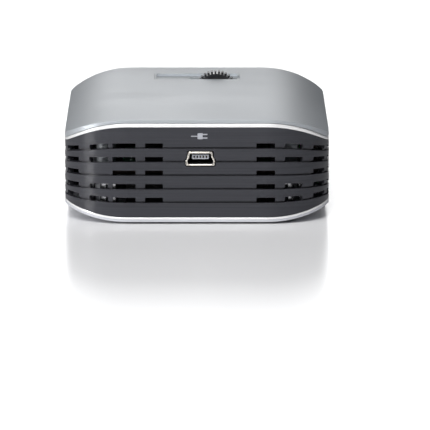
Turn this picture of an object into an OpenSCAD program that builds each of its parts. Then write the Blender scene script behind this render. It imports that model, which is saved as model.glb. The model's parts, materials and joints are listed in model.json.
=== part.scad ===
// Pocket projector: an arched, louvred case round a three-colour LED light engine.
// The rear face, with the data socket, looks along -Y and the lens looks along +Y.
// The origin is on the table, under the middle of the case, and +Z is up.

/* [Case] */
// Width of the case
case_w = 70; // [69:0.5:84]
// Depth of the case, from the socket face to the lens face
case_d = 120; // [118:1:144]
// Height of the flat middle of the top above the table
case_h = 27.5; // [27:0.5:33]
// Plan radius of the upright corners
corner_r = 17; // [15:0.5:18]
// Half the width of the flat middle of the top and of the underside
flat_half = 18.5; // [18.5:0.5:20]
// Fall of the top from its flat middle to the sides
top_fall = 4.7; // [4.2:0.1:5.2]
// Rise of the underside from its flat middle to the sides
base_rise = 3.3; // [2.8:0.1:3.6]
// Thickness of the louvred band
band_wall = 1.8; // [1.6:0.1:2]
// Thickness of the top cover
cover_t = 1.5; // [1.2:0.1:1.6]
// Thickness of the bottom cover
base_t = 1.5; // [1.4:0.1:1.7]
// How far the feet hold the case off the table
foot_stand = 0.55; // [0.4:0.05:0.9]

/* [Trim lines] */
// Height of the bright line under the top cover
top_trim_h = 1.05; // [0.8:0.05:1.3]
// Height of the bright line under the band
low_trim_h = 0.6; // [0.5:0.05:0.8]
// Open seam between the top cover and the bright line
seam = 0.15; // [0.1:0.05:0.3]

/* [Vents] */
// Height of the lowest groove line
groove_low = 5.8; // [5.6:0.1:6.4]
// Spacing of the groove lines
groove_pitch = 3.6; // [3.3:0.1:3.7]
// Height of a groove line
groove_h = 0.5; // [0.4:0.05:0.7]
// Depth of a groove line
groove_depth = 0.6; // [0.4:0.05:0.9]
// Height of a vent slot above its groove line
slot_h = 1.2; // [0.8:0.1:1.6]
// Length of a vent slot along a side wall
slot_l = 6; // [4:0.5:6.5]
// Spacing of the slots along a side wall
slot_pitch = 7.8; // [7.4:0.1:9]

/* [Focus drive] */
// Teeth on the thumbwheel
wheel_teeth = 36; // [34:2:36]
// Teeth on the lens ring
ring_teeth = 55; // [53:2:55]
// Outer radius of the thumbwheel
wheel_r = 6; // [5.8:0.1:6]
// How far the thumbwheel stands out of the top
wheel_stand = 1.7; // [1.4:0.1:2.2]
// Thickness of the thumbwheel
wheel_w = 4; // [3:0.5:4.4]
// Distance of the thumbwheel from the lens face
wheel_back = 22; // [21.6:0.1:24]
// Radius of the thumbwheel's axle
axle_r = 0.8; // [0.7:0.05:0.95]
// Play of a turning or sliding fit, on the radius
run = 0.05; // [0.03:0.01:0.07]

/* [Lens] */
// Radius of the lens elements
lens_r = 5.15; // [4.8:0.05:5.2]
// Outer radius of the sliding lens cell
cell_r = 6.15; // [6:0.05:6.2]
// Outer radius of the fixed lens tube
tube_r = 7.2; // [7.1:0.05:7.3]
// Focus travel of the lens cell, each way
cell_travel = 1.2; // [0.8:0.1:1.4]

/* [Battery] */
// Width of the battery
battery_w = 34.5; // [30:0.5:35]
// Length of the battery
battery_l = 52; // [43:1:53]
// Thickness of the battery
battery_t = 7; // [5.5:0.1:7.4]

/* [Cooling] */
// Side of the square blower
fan_size = 30; // [25:1:36]
// Height of the blower
fan_h = 6.6; // [5.6:0.1:7.8]
// Radius of the heat pipes
pipe_r = 1.25; // [1:0.05:1.3]

/* [Sockets] */
// Height of the middle of the data socket
usb_z = 17.3; // [17:0.1:17.6]
// Half the width of the data socket's shell
usb_half = 3.84; // [3.7:0.02:4.2]
// Bore radius of the sound and picture jack
jack_r = 1.8; // [1.7:0.05:2]
// Radius of the tripod thread's inner wall
tripod_r = 2.6; // [2.4:0.1:3]

/* [Hidden] */
$fn = 64;

// Faces of the case
front = case_d / 2;
rear = -case_d / 2;
side = case_w / 2;
wall_in = side - band_wall;
far = 60;
cut = 0.5;

// Height and side fall of each line that runs round the case
rim_h = 0.75;
edge_fall = top_fall + 0.75;
band_fall = top_fall + 0.45;
cover_low = case_h - rim_h;
trim_top = cover_low - seam;
band_top = trim_top - top_trim_h;
band_low = foot_stand + low_trim_h + 0.6;
cover_in = case_h - cover_t;
base_in = foot_stand + base_t;
groove_falls = [-0.7, 0.4, 0.7, 1.3, 2.2];

// Small fits and shells
fit = 0.1;
skirt_t = 1.2;
skirt_in = band_wall + fit;
boss_r = 2.8;
screw_r = 1;

screw_seat = 3.2;
boss_split = 8;

// Feet
foot_r = 3.4;
foot_h = 1.25;
foot_spots = [[13, front - 9], [-13, front - 9], [13, rear + 8], [-13, rear + 8]];

// Focus drive: the wheel's axle, the lens axis below it and their gears
module_mm = 2 * wheel_r / (wheel_teeth + 2);
backlash = 0.05;
mesh_gap = 0.04;
centre_gap = module_mm * (wheel_teeth + ring_teeth) / 2 + mesh_gap;
wheel_x = 5.3;
wheel_y = front - wheel_back;
wheel_z = case_h + wheel_stand - wheel_r;
lens_drop = 9.6;
lens_z = wheel_z - lens_drop;
lens_x = wheel_x - sqrt(centre_gap * centre_gap - lens_drop * lens_drop);
mesh_angle = atan2(lens_z - wheel_z, lens_x - wheel_x);
bezel_w = 23.4;
bezel_d = 13.8;
bezel_y = wheel_y + 0.4;
bezel_sink = 0.6;
bezel_under = case_h - 2.3;

// Lens barrel, along Y
flange_back = wheel_y - 3.9;
flange_t = 1.5;
tube_end = wheel_y + 12;
ring_start = flange_back + flange_t + 0.1;
ring_end = wheel_y + 9;
ring_step = wheel_y + wheel_w / 2 + 0.3;
ring_outer = 8.8;
cell_start = wheel_y - 1.5;
cell_end = wheel_y + 13;
pin_y = wheel_y + 5.5;
pin_r = 0.6;
slot_half = cell_travel + pin_r + fit;
hood_r = 9.6;
lens_screw_spots = [[lens_x - 7.3, lens_z - 4.9], [lens_x + 7.3, lens_z - 4.9],
    [lens_x - 7.4, lens_z + 4.6]];

// Light engine, placed from the lens axis and the thumbwheel
engine_front = flange_back;
beam_y = engine_front - 9.6;
engine_rear = beam_y - 7.5;
engine_left = lens_x - 9;
engine_right = lens_x + 33.4;
engine_low = lens_z - 6.6;
engine_high = lens_z + 5.7;
engine_wall = 1.5;
engine_floor = engine_low + 1.4;
prism_half = 4.5;
integrator_x = lens_x + 8;
relay_x = lens_x + 12.4;
relay_r = 4.2;
red_x = lens_x + 17.7;
blue_x = lens_x + 25.5;
collimator_r = 3.6;
collimator_t = 2.6;
led_board_t = 1.2;
led_half = 3.8;
engine_screw_spots = [[engine_left + 2.95, engine_rear + 2.95],
    [engine_left + 2.95, engine_front - 2.95], [engine_right - 2.95, engine_rear + 2.95],
    [engine_right - 2.95, engine_front - 2.95]];

// Main board, its tray and the battery under it
usb_half_h = 1.87;
board_t = 1.2;
board_top = usb_z - usb_half_h;
board_low = board_top - board_t;
board_half = 19.5;
board_rear = rear + 2.4;
bay_rear = rear + 17;
tray_wall = 1.2;
tray_gap = 0.3;
battery_z = base_in + 0.55;
tray_roof = battery_z + battery_t + 0.4;
tray_half = battery_w / 2 + tray_gap + tray_wall;
tray_rear = bay_rear - tray_wall;
tray_front = bay_rear + battery_l + 2 * tray_gap + tray_wall;
board_front = tray_front - 1;
post_spots = [[16.5, tray_rear + 3.2], [-16.5, tray_rear + 3.2],
    [16.5, tray_front - 4], [-16.5, tray_front - 4]];
door_travel = 3;
door_half = battery_w / 2 + 0.75;
door_rear = bay_rear - 0.2;
door_front = door_rear + battery_l + 1;
door_lip = 1;
door_split = foot_stand + 0.65;
ribbon_w = 6;

// Cooling
pipe_z = board_low - 0.15 - pipe_r;
sink_top = pipe_z - pipe_r;
sink_low = 5.2;
sink_in = 3.4;
sink_gap = 2.65;
sink_reach = side - sink_in - tray_half - sink_gap;
sink_fins = 4;
fin_t = 1.5;
fin_inset = 0.6;
fin_pitch = (sink_reach - fin_inset - fin_t) / (sink_fins - 1);
pipe_x = engine_right + led_board_t + 1.8;
cross_y = rear + 12;
fan_y = rear + 8 + fan_size / 2 + 14;

// Case screws: [x, y], the rear pair standing clear of the side heat pipe
rear_screw_x = pipe_x - pipe_r - boss_r - 2.9;
screw_spots = [[side - 7, front - 14], [7 - side, front - 14],
    [rear_screw_x, rear + 27], [-rear_screw_x, rear + 27]];

// Socket, switch and jack
usb_x = 0.9;
usb_l = 9;
port_z = 12.8;
port_board_z = port_z - 2.6;
switch_y = -15;
knob_l = 7;
knob_travel = 3;
jack_y = 1;
jack_nose = 3;
port_zone = [switch_y - 9, jack_y + 8];
vent_end = front - 34;

// ---- Shapes that repeat ----

// Plan outline of the case, moved in from its outer face
module plan(inset) {
    r = corner_r - inset;
    w = case_w - 2 * inset;
    d = case_d - 2 * inset;
    square([w - 2 * r, d], center = true);
    square([w, d - 2 * r], center = true);
    for (sx = [-1, 1], sy = [-1, 1])
        translate([sx * (w / 2 - r), sy * (d / 2 - r)]) circle(r = r, $fn = 96);
}

module prism_of(inset) {
    translate([0, 0, -far]) linear_extrude(2 * far) plan(inset);
}

// Radius of an arc that starts level at flat_half and has this fall at the side
function arc_r(fall) = (pow(side - flat_half, 2) + fall * fall) / (2 * fall);

// Everything below a line that is level in the middle and falls to the sides
module below(z, fall) {
    rotate([90, 0, 0]) linear_extrude(case_d + 20, center = true) {
        translate([-flat_half, z - far]) square([2 * flat_half, far]);
        translate([-far, z - arc_r(fall) - far]) square([2 * far, far]);
        for (s = [-1, 1])
            translate([s * flat_half, z - arc_r(fall)]) circle(r = arc_r(fall), $fn = 160);
    }
}

// Everything above a line that is level in the middle and rises to the sides
module above(z, rise) {
    rotate([90, 0, 0]) linear_extrude(case_d + 20, center = true) {
        translate([-flat_half, z]) square([2 * flat_half, far]);
        translate([-far, z + arc_r(rise)]) square([2 * far, far]);
        for (s = [-1, 1])
            translate([s * flat_half, z + arc_r(rise)]) circle(r = arc_r(rise), $fn = 160);
    }
}

// A layer that follows the arched top, and one that follows the underside
module top_layer(z0, fall0, z1, fall1) {
    difference() {
        below(z1, fall1);
        below(z0, fall0);
    }
}

module base_layer(z0, z1) {
    difference() {
        above(z0, base_rise);
        above(z1, base_rise);
    }
}

// A ring between two insets of the plan
module ring_of(inset0, inset1) {
    difference() {
        prism_of(inset0);
        prism_of(inset1);
    }
}

// A thin layer along one groove line, whichever way that line bends
module line_layer(z, fall, h) {
    if (fall > 0) top_layer(z, fall, z + h, fall);
    else difference() {
        above(z, -fall);
        above(z + h, -fall);
    }
}

module along_y(x, y, z) {
    translate([x, y, z]) rotate([-90, 0, 0]) children();
}

module along_x(x, y, z) {
    translate([x, y, z]) rotate([0, 90, 0]) children();
}

module tube(r, bore, h) {
    difference() {
        cylinder(r = r, h = h);
        translate([0, 0, -cut]) cylinder(r = bore, h = h + 2 * cut);
    }
}

module box(x0, x1, y0, y1, z0, z1) {
    translate([x0, y0, z0]) cube([x1 - x0, y1 - y0, z1 - z0]);
}

// Involute gear outline
function inv(a) = tan(a) - a * PI / 180;
function half_tooth(r, pitch_r, teeth) = let (base_r = pitch_r * cos(20))
    90 / teeth - backlash / (2 * pitch_r) * 180 / PI
    + (inv(20) - inv(acos(min(1, base_r / max(r, base_r))))) * 180 / PI;
function gear_points(teeth) = let (pitch_r = module_mm * teeth / 2,
    root = pitch_r - 1.25 * module_mm, tip = pitch_r + module_mm,
    radii = [root, pitch_r - 0.75 * module_mm, pitch_r, tip])
    [for (i = [0 : teeth - 1], j = [0 : 7]) let (up = j < 4, r = radii[up ? j : 7 - j],
        a = 360 * i / teeth + (up ? -1 : 1) * half_tooth(r, pitch_r, teeth))
        r * [cos(a), sin(a)]];

module gear(teeth, turn, y0, w) {
    translate([0, y0 + w, 0]) rotate([90, 0, 0]) linear_extrude(w) rotate(turn)
        polygon(gear_points(teeth));
}

// Biconvex lens element standing along Y, from its rear face
module element(r, t, curve) {
    rotate([-90, 0, 0]) rotate_extrude($fn = 64) intersection() {
        square([r, t]);
        translate([0, curve]) circle(r = curve, $fn = 240);
        translate([0, t - curve]) circle(r = curve, $fn = 240);
    }
}

// Outline of the data socket's shell, grown by a margin
module usb_outline(grow) {
    w = usb_half + grow;
    h = usb_half_h + grow;
    top = w - 0.55;
    polygon([[top - 0.3, h], [top, h - 0.3], [top, 0.6], [w, -0.3], [w, 0.5 - h],
        [w - 0.5, -h], [0.5 - w, -h], [-w, 0.5 - h], [-w, -0.3], [-top, 0.6],
        [-top, h - 0.3], [0.3 - top, h]]);
}

module usb_bar(grow, y0, y1) {
    translate([usb_x, y1, usb_z]) rotate([90, 0, 0]) linear_extrude(y1 - y0) usb_outline(grow);
}

// ---- Vents ----

// Rear slots of each side: [distance along the wall from the middle of the rear face, length]
left_slots = [[11.3, 4.7], [19.2, 6.1], [26.3, 5.6], [36.3, 6.4]];
right_slots = [[18.1, 4.9], [25.9, 5.3], [35.2, 5.7]];
straight = side - corner_r;
bend_end = straight + corner_r * PI / 2;

// Point on the outer wall at distance s from the middle of the rear face: [x, y, turn]
function wall_at(s) = let (d = abs(s), g = sign(s), a = (d - straight) / corner_r * 180 / PI)
    d < straight ? [s, rear, 0]
    : d < bend_end ? [g * (straight + corner_r * sin(a)), rear + corner_r * (1 - cos(a)), g * a]
    : [g * side, rear + corner_r + d - bend_end, g * 90];

function slot_count(first) =
    floor((bend_end + vent_end - rear - corner_r - first) / slot_pitch);
function in_port_zone(s) = let (w = wall_at(s))
    w[0] < -side + cut && w[1] > port_zone[0] && w[1] < port_zone[1];

module wall_slot(s, length) {
    w = wall_at(s);
    translate([w[0], w[1], -cut]) rotate(w[2]) translate([-length / 2, -4])
        cube([length, 8, case_h]);
}

// Slots of one row on one side: the middle row leaves one slot closed
module slot_row(row, hand) {
    listed = hand < 0 ? left_slots : right_slots;
    closed = hand < 0 ? 2 : 1;
    last = listed[len(listed) - 1][0];
    for (k = [0 : len(listed) - 1]) if (!(row == 2 && k == closed))
        wall_slot(hand * listed[k][0], listed[k][1]);
    for (k = [1 : slot_count(last)]) if (!in_port_zone(hand * (last + k * slot_pitch)))
        wall_slot(hand * (last + k * slot_pitch), slot_l);
}

// ---- Case ----

module top_cover() {
    color([0.62, 0.64, 0.66]) difference() {
        union() {
            intersection() {
                prism_of(0);
                top_layer(cover_low, edge_fall, case_h, top_fall);
            }
            intersection() {
                prism_of(band_wall - 0.2);
                top_layer(cover_in, top_fall - 0.3, cover_low + 0.25, top_fall - 0.3);
            }
            intersection() {
                ring_of(skirt_in, skirt_in + skirt_t);
                top_layer(band_top - 1.5, band_fall, cover_in + 0.4, top_fall - 0.3);
            }
            intersection() {
                for (p = screw_spots) translate([p[0], p[1], boss_split])
                    cylinder(r = boss_r, h = case_h);
                below(cover_in + 0.4, top_fall - 0.3);
            }
        }
        box(-bezel_w / 2 - fit, bezel_w / 2 + fit, bezel_y - bezel_d / 2 - fit,
            bezel_y + bezel_d / 2 + fit, cover_in - 1, case_h + 1);
        for (p = screw_spots) translate([p[0], p[1], boss_split - cut])
            cylinder(r = screw_r, h = 10.5);
    }
}

module top_trim() {
    color([0.93, 0.93, 0.94]) intersection() {
        ring_of(0, band_wall - 0.3);
        top_layer(band_top, band_fall, trim_top, edge_fall);
    }
}

module vent_band() {
    color([0.27, 0.27, 0.30]) difference() {
        intersection() {
            ring_of(0, band_wall);
            below(band_top, band_fall);
            above(band_low, base_rise);
        }
        for (i = [0 : 4]) difference() {
            line_layer(groove_low + i * groove_pitch - groove_h / 2, groove_falls[i], groove_h);
            prism_of(groove_depth);
        }
        for (i = [0 : 4]) intersection() {
            line_layer(groove_low + i * groove_pitch - groove_h / 2, groove_falls[i],
                slot_h + groove_h / 2);
            union() {
                slot_row(i, -1);
                slot_row(i, 1);
            }
        }
        usb_bar(0.25, rear - 1, rear + 4);
        along_y(lens_x, front - 4, lens_z) cylinder(r = hood_r + fit / 2, h = 6);
        box(-side - 1, 0.9 - side, switch_y - 6.5, switch_y + 6.5, port_z - 1.9, port_z + 1.9);
        box(-side - 1, -wall_in + 1, switch_y - 3.2, switch_y + 3.2, port_z - 0.9, port_z + 0.9);
        along_x(-side - 1, jack_y, port_z) cylinder(r = jack_nose + fit, h = 4);
    }
}

module bottom_trim() {
    color([0.93, 0.93, 0.94]) intersection() {
        ring_of(0, band_wall - 0.3);
        base_layer(band_low - low_trim_h, band_low);
    }
}

module bottom_cover() {
    color([0.22, 0.22, 0.24]) difference() {
        union() {
            intersection() {
                prism_of(0);
                base_layer(foot_stand, band_low - low_trim_h);
            }
            intersection() {
                prism_of(band_wall - 0.2);
                base_layer(foot_stand + 0.3, band_low);
            }
            intersection() {
                prism_of(skirt_in);
                base_layer(foot_stand + 0.3, base_in);
            }
            intersection() {
                ring_of(skirt_in, skirt_in + skirt_t);
                base_layer(foot_stand + 0.3, base_in + 1.4);
            }
            intersection() {
                union() {
                    for (p = screw_spots) translate([p[0], p[1], 0])
                        cylinder(r = boss_r, h = boss_split - fit);
                    for (p = engine_screw_spots) translate([p[0], p[1], 0])
                        cylinder(r = 1.9, h = engine_low);
                    translate([0, beam_y, 0]) cylinder(r = 6.2, h = 6.3);
                    for (y = [switch_y - 6, jack_y + 8]) translate([4 - side + 4, y, 0])
                        cylinder(r = 1.6, h = port_board_z - 1.2);
                }
                above(foot_stand + 0.3, base_rise);
            }
        }
        for (p = screw_spots) translate([p[0], p[1], -1]) {
            cylinder(r = 2.3, h = 1 + screw_seat);
            cylinder(r = screw_r + 0.25, h = boss_split + 2);
        }
        for (p = engine_screw_spots) translate([p[0], p[1], engine_low - 4])
            cylinder(r = 0.8, h = 5);
        for (p = foot_spots) translate([p[0], p[1], -1])
            cylinder(r = foot_r + 0.05, h = 1 + foot_h);
        translate([0, beam_y, -1]) cylinder(r = 4.6, h = 9);
        box(-door_half - 0.15, door_half + 0.15, door_rear - door_travel - 0.15,
            door_front + 0.15, -1, door_split + fit);
        box(-door_half - door_lip - 0.15, door_half + door_lip + 0.15,
            door_rear - door_travel - 0.15, door_front + 0.15, door_split, base_in + 1);
    }
}

module battery_door() {
    color([0.20, 0.20, 0.22]) difference() {
        union() {
            box(-door_half, door_half, door_rear, door_front, foot_stand, door_split + fit);
            box(-door_half - door_lip, door_half + door_lip, door_rear, door_front,
                door_split + fit, base_in - fit);
        }
        for (i = [0 : 4]) box(-5, 5, door_rear + 4 + 1.6 * i, door_rear + 4.8 + 1.6 * i,
            foot_stand - 1, foot_stand + 0.35);
    }
}

module rubber_feet() {
    color([0.10, 0.10, 0.11]) for (p = foot_spots) translate([p[0], p[1], 0]) {
        cylinder(r1 = foot_r - 0.3, r2 = foot_r, h = 0.3);
        translate([0, 0, 0.3]) cylinder(r = foot_r, h = foot_h - 0.3);
    }
}

module case_screws() {
    color([0.55, 0.56, 0.58]) for (p = screw_spots) translate([p[0], p[1], 0]) difference() {
        union() {
            translate([0, 0, screw_seat - 1.1]) cylinder(r = 2.1, h = 1.1);
            translate([0, 0, screw_seat]) cylinder(r = screw_r, h = 13);
        }
        for (a = [0, 90]) rotate(a)
            translate([-1.2, -0.25, screw_seat - 1.6]) cube([2.4, 0.5, 1.1]);
    }
}

module tripod_nut() {
    color([0.80, 0.65, 0.30]) translate([0, beam_y, foot_stand + 0.15]) difference() {
        tube(4.6, tripod_r, 5.5);
        for (i = [0 : 17]) rotate(20 * i) translate([4.45, -0.15, 1.2]) cube([0.6, 0.3, 3]);
    }
}

// ---- Focus drive ----

module focus_bezel() {
    well = wheel_r + 0.35;
    color([0.55, 0.57, 0.59]) difference() {
        union() {
            box(-bezel_w / 2, bezel_w / 2, bezel_y - bezel_d / 2, bezel_y + bezel_d / 2,
                bezel_under, case_h);
            box(-bezel_w / 2 - 1.2, bezel_w / 2 + 1.2, bezel_y - bezel_d / 2 - 1.2,
                bezel_y + bezel_d / 2 + 1.2, bezel_under, min(cover_in, bezel_under + 0.8));
        }
        box(0.5 - bezel_w / 2, bezel_w / 2 - 0.5, bezel_y - bezel_d / 2 + 0.5,
            bezel_y + bezel_d / 2 - 0.5, case_h - bezel_sink, case_h + 1);
        box(wheel_x - well, wheel_x + well, wheel_y - wheel_w / 2 - 0.4,
            wheel_y + wheel_w / 2 + 0.4, bezel_under - 1, case_h + 1);
        translate([wheel_x - well, wheel_y, case_h - bezel_sink]) rotate([0, 45, 0])
            cube([1.4, wheel_w + 0.8, 1.4], center = true);
    }
}

module focus_wheel() {
    color([0.09, 0.09, 0.10]) translate([wheel_x, 0, wheel_z]) difference() {
        gear(wheel_teeth, mesh_angle, wheel_y - wheel_w / 2, wheel_w);
        along_y(0, wheel_y - wheel_w / 2 - 1, 0) cylinder(r = axle_r + run, h = wheel_w + 2);
        for (s = [-1, 1]) along_y(0, wheel_y + s * wheel_w / 2 - 0.4, 0) difference() {
            cylinder(r = wheel_r - 1.3, h = 0.8);
            translate([0, 0, -cut]) cylinder(r = 2.2, h = 2);
        }
    }
}

module focus_axle() {
    color([0.75, 0.75, 0.77]) along_y(wheel_x, flange_back + 0.1, wheel_z)
        cylinder(r = axle_r, h = wheel_w + 3);
}

module axle_clip() {
    color([0.35, 0.35, 0.37]) along_y(wheel_x, wheel_y + wheel_w / 2 + 0.15, wheel_z) difference() {
        tube(1.7, axle_r, 0.5);
        translate([0, -0.3, -cut]) cube([3, 0.6, 2]);
    }
}

module lens_mount() {
    back = flange_back;
    color([0.16, 0.16, 0.17]) difference() {
        union() {
            box(lens_x - 8.8, lens_x + 8.8, back, back + flange_t, lens_z - 6.6, lens_z + 7.6);
            box(lens_x + 4.4, wheel_x + 1.8, back, back + flange_t, lens_z + 5, wheel_z + 1.8);
            along_y(lens_x, back, lens_z) cylinder(r = tube_r, h = tube_end - back);
        }
        along_y(lens_x, back - 1, lens_z) cylinder(r = cell_r + run, h = tube_end - back + 2);
        along_y(wheel_x, back - 1, wheel_z) cylinder(r = axle_r, h = flange_t + 2);
        box(lens_x - pin_r - run, lens_x + pin_r + run, pin_y - slot_half, pin_y + slot_half,
            lens_z, lens_z + tube_r + 1);
        for (p = lens_screw_spots) along_y(p[0], back, p[1]) {
            translate([0, 0, -1]) cylinder(r = 0.7, h = 4);
            translate([0, 0, flange_t - 0.8]) cylinder(r = 1.45, h = 2);
        }
    }
}

module lens_screws() {
    color([0.55, 0.56, 0.58]) for (p = lens_screw_spots)
        along_y(p[0], flange_back - 1.2, p[1]) difference() {
            union() {
                cylinder(r = 0.7, h = 2);
                translate([0, 0, 1.2 + flange_t - 0.8]) cylinder(r = 1.4, h = 0.8);
            }
            translate([-0.8, -0.15, 1.2 + flange_t - 0.3]) cube([1.6, 0.3, 1]);
        }
}

module lens_ring() {
    start = ring_start;
    color([0.12, 0.12, 0.13]) translate([lens_x, 0, lens_z]) difference() {
        union() {
            gear(ring_teeth, mesh_angle + 180 + 180 / ring_teeth, start, ring_step - start);
            along_y(0, ring_step, 0) cylinder(r = ring_outer, h = ring_end - ring_step);
        }
        along_y(0, start - 1, 0) cylinder(r = tube_r + run, h = ring_end - start + 2);
        along_y(0, pin_y - slot_half, 0) cylinder(r = tube_r + 0.9, h = 2 * slot_half);
    }
}

module ring_retainer() {
    color([0.35, 0.35, 0.37]) along_y(lens_x, ring_end + fit, lens_z) tube(9, tube_r, 1.2);
}

module lens_cell() {
    color([0.14, 0.14, 0.15]) translate([lens_x, 0, lens_z]) difference() {
        along_y(0, cell_start, 0) cylinder(r = cell_r, h = cell_end - cell_start);
        along_y(0, cell_start - 1, 0) cylinder(r = lens_r - 0.75, h = cell_end - cell_start + 2);
        along_y(0, cell_start - 1, 0) cylinder(r = lens_r + 0.05, h = 5.7);
        along_y(0, wheel_y + 4.7, 0) cylinder(r = lens_r + 0.05, h = 2.6);
        along_y(0, wheel_y + 9.3, 0) cylinder(r = lens_r + 0.05, h = 5);
        along_y(0, cell_end - 1, 0) cylinder(r1 = lens_r + 0.05, r2 = cell_r - 0.2, h = 1.01);
        translate([0, pin_y, lens_r + 0.35]) cylinder(r = pin_r, h = 3);
    }
}

module cam_pin() {
    color([0.75, 0.75, 0.77]) translate([lens_x, pin_y, lens_z + lens_r + 0.35])
        cylinder(r = pin_r, h = tube_r + 0.75 - lens_r - 0.35);
}

module rear_lens() {
    color([0.75, 0.85, 0.95, 0.5]) translate([lens_x, wheel_y - 0.1, lens_z])
        element(lens_r, 3.2, 14);
}

module middle_lens() {
    color([0.75, 0.85, 0.95, 0.5]) translate([lens_x, wheel_y + 4.75, lens_z])
        element(lens_r, 2.5, 18);
}

module front_lens() {
    color([0.70, 0.78, 0.95, 0.5]) translate([lens_x, wheel_y + 9.3, lens_z])
        element(lens_r, 3.6, 11);
}

module lens_bezel() {
    depth = 6.8;
    color([0.13, 0.13, 0.14]) along_y(lens_x, front - depth, lens_z) difference() {
        union() {
            cylinder(r = hood_r, h = depth);
            translate([0, 0, depth - band_wall - 1.6]) cylinder(r = hood_r + 0.5, h = 1.5);
        }
        translate([0, 0, -0.01]) cylinder(r1 = 6.9, r2 = 8.5, h = depth + 0.02);
        for (i = [1 : 4]) translate([0, 0, 1.4 * i])
            cylinder(r = 6.9 + 1.6 * 1.4 * i / depth + 0.25, h = 0.6);
    }
}

// ---- Light engine ----

module engine_chassis() {
    w = engine_wall;
    color([0.45, 0.46, 0.48]) difference() {
        union() {
            difference() {
                box(engine_left, engine_right, engine_rear, engine_front, engine_low,
                    engine_high);
                box(engine_left + w, engine_right - w, engine_rear + w, engine_front - w,
                    engine_floor, engine_high + 1);
            }
            box(lens_x - prism_half, lens_x + prism_half, beam_y - prism_half,
                beam_y + prism_half, engine_floor - cut, lens_z - prism_half);
            box(integrator_x - 2, integrator_x + 2, beam_y - 3.5, beam_y + 3.5,
                engine_floor - cut, lens_z - 3.5);
            box(relay_x - 1.2, relay_x + 1.2, engine_rear + w - cut, engine_front - w + cut,
                engine_floor - cut, engine_high);
            for (x = [red_x, blue_x]) along_y(x, engine_front - w - 3, lens_z)
                cylinder(r = 4.6, h = 3.2);
            along_x(engine_right - w - 3, beam_y, lens_z) cylinder(r = 4.6, h = 3.2);
        }
        along_x(relay_x - 2, beam_y, lens_z) cylinder(r = relay_r + 0.05, h = 4);
        box(lens_x - 4.9, lens_x + 4.9, engine_rear - 1, engine_rear + w + 1, lens_z - 3.9,
            lens_z + 3.9);
        along_y(lens_x, engine_front - w - 1, lens_z) cylinder(r = cell_r + run, h = w + 2);
        for (x = [red_x, blue_x]) {
            along_y(x, engine_front - w - 4, lens_z) cylinder(r = collimator_r + 0.05, h = 4);
            along_y(x, engine_front - w - 1, lens_z) cylinder(r = 3, h = w + 2);
        }
        along_x(engine_right - w - 4, beam_y, lens_z) cylinder(r = collimator_r + 0.05, h = 4);
        along_x(engine_right - w - 1, beam_y, lens_z) cylinder(r = 3, h = w + 2);
        for (p = engine_screw_spots) translate([p[0], p[1], engine_low - 1])
            cylinder(r = 0.95, h = 4);
        for (p = lens_screw_spots) along_y(p[0], engine_front - 1.2, p[1])
            cylinder(r = 0.7, h = 2);
    }
}

module engine_lid() {
    color([0.40, 0.41, 0.43]) union() {
        box(engine_left, engine_right, engine_rear, engine_front, engine_high,
            engine_high + 1.2);
        for (x = [engine_left + 2.5, engine_right - 8.5])
            box(x, x + 6, engine_rear + 1.6, engine_rear + 2.6, engine_high - 1.5,
                engine_high + cut);
    }
}

module engine_screws() {
    color([0.55, 0.56, 0.58]) for (p = engine_screw_spots) translate([p[0], p[1], 0]) {
        translate([0, 0, engine_low - 3.6]) cylinder(r = 0.8, h = 5.5);
        translate([0, 0, engine_floor]) cylinder(r = 1.4, h = 0.9);
    }
}

module prism() {
    h = prism_half;
    color([0.80, 0.88, 0.95, 0.5]) translate([lens_x, beam_y, lens_z - h])
        linear_extrude(2 * h) union() {
            polygon([[-h, -h], [h - 0.1, -h], [-h, h - 0.1]]);
            polygon([[h, 0.1 - h], [h, h], [0.1 - h, h]]);
        }
}

module imaging_chip() {
    back = engine_rear;
    color([0.55, 0.60, 0.70]) union() {
        box(lens_x - 4.7, lens_x + 4.7, back, back + 1.2, lens_z - 3.7, lens_z + 3.7);
        box(lens_x - 3.2, lens_x + 3.2, back + 1.2, back + 1.8, lens_z - 2.2, lens_z + 2.2);
    }
}

module chip_board() {
    color([0.10, 0.35, 0.20]) difference() {
        box(lens_x - 8, lens_x + 8, engine_rear - 1.5, engine_rear, lens_z - 6.6, lens_z + 6);
        for (s = [-1, 1]) along_y(lens_x + s * 6.6, engine_rear - 3, lens_z + 4.6)
            cylinder(r = 0.8, h = 5);
    }
}

// Flat ribbon from the chip board's back down to the end of the main board
module chip_ribbon() {
    back = engine_rear - 1.5;
    t = 0.3;
    color([0.75, 0.50, 0.20]) translate([lens_x - ribbon_w / 2, 0, 0]) {
        box(0, ribbon_w, back - t, back, board_top, board_top + 2.4);
        box(0, ribbon_w, board_front - 4, back, board_top, board_top + t);
    }
}

module light_integrator() {
    color([0.85, 0.90, 0.95, 0.6]) difference() {
        box(integrator_x - 2, integrator_x + 2, beam_y - 3.5, beam_y + 3.5, lens_z - 3.5,
            lens_z + 3.5);
        for (s = [-1, 1], i = [-2 : 2]) box(integrator_x + s * 2 - 0.15,
            integrator_x + s * 2 + 0.15, beam_y + 1.4 * i - 0.1, beam_y + 1.4 * i + 0.1,
            lens_z - 4, lens_z + 4);
    }
}

module relay_lens() {
    color([0.75, 0.85, 0.95, 0.5]) translate([relay_x, beam_y, lens_z]) rotate(90)
        translate([0, -1.2, 0]) element(relay_r, 2.4, 12);
}

module dichroic_plates() {
    color([0.90, 0.70, 0.85, 0.6]) for (x = [red_x, blue_x])
        translate([x, beam_y, engine_floor + 4.8]) rotate(45)
            cube([8.2, 1, 9.6], center = true);
}

module collimator_lenses() {
    gap = engine_front - engine_wall - 3.1;
    color([0.85, 0.92, 0.97, 0.5]) {
        for (x = [red_x, blue_x]) translate([x, gap, lens_z])
            element(collimator_r, collimator_t, 9);
        translate([engine_right - engine_wall - 3.1, beam_y, lens_z]) rotate(-90)
            element(collimator_r, collimator_t, 9);
    }
}

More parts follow.
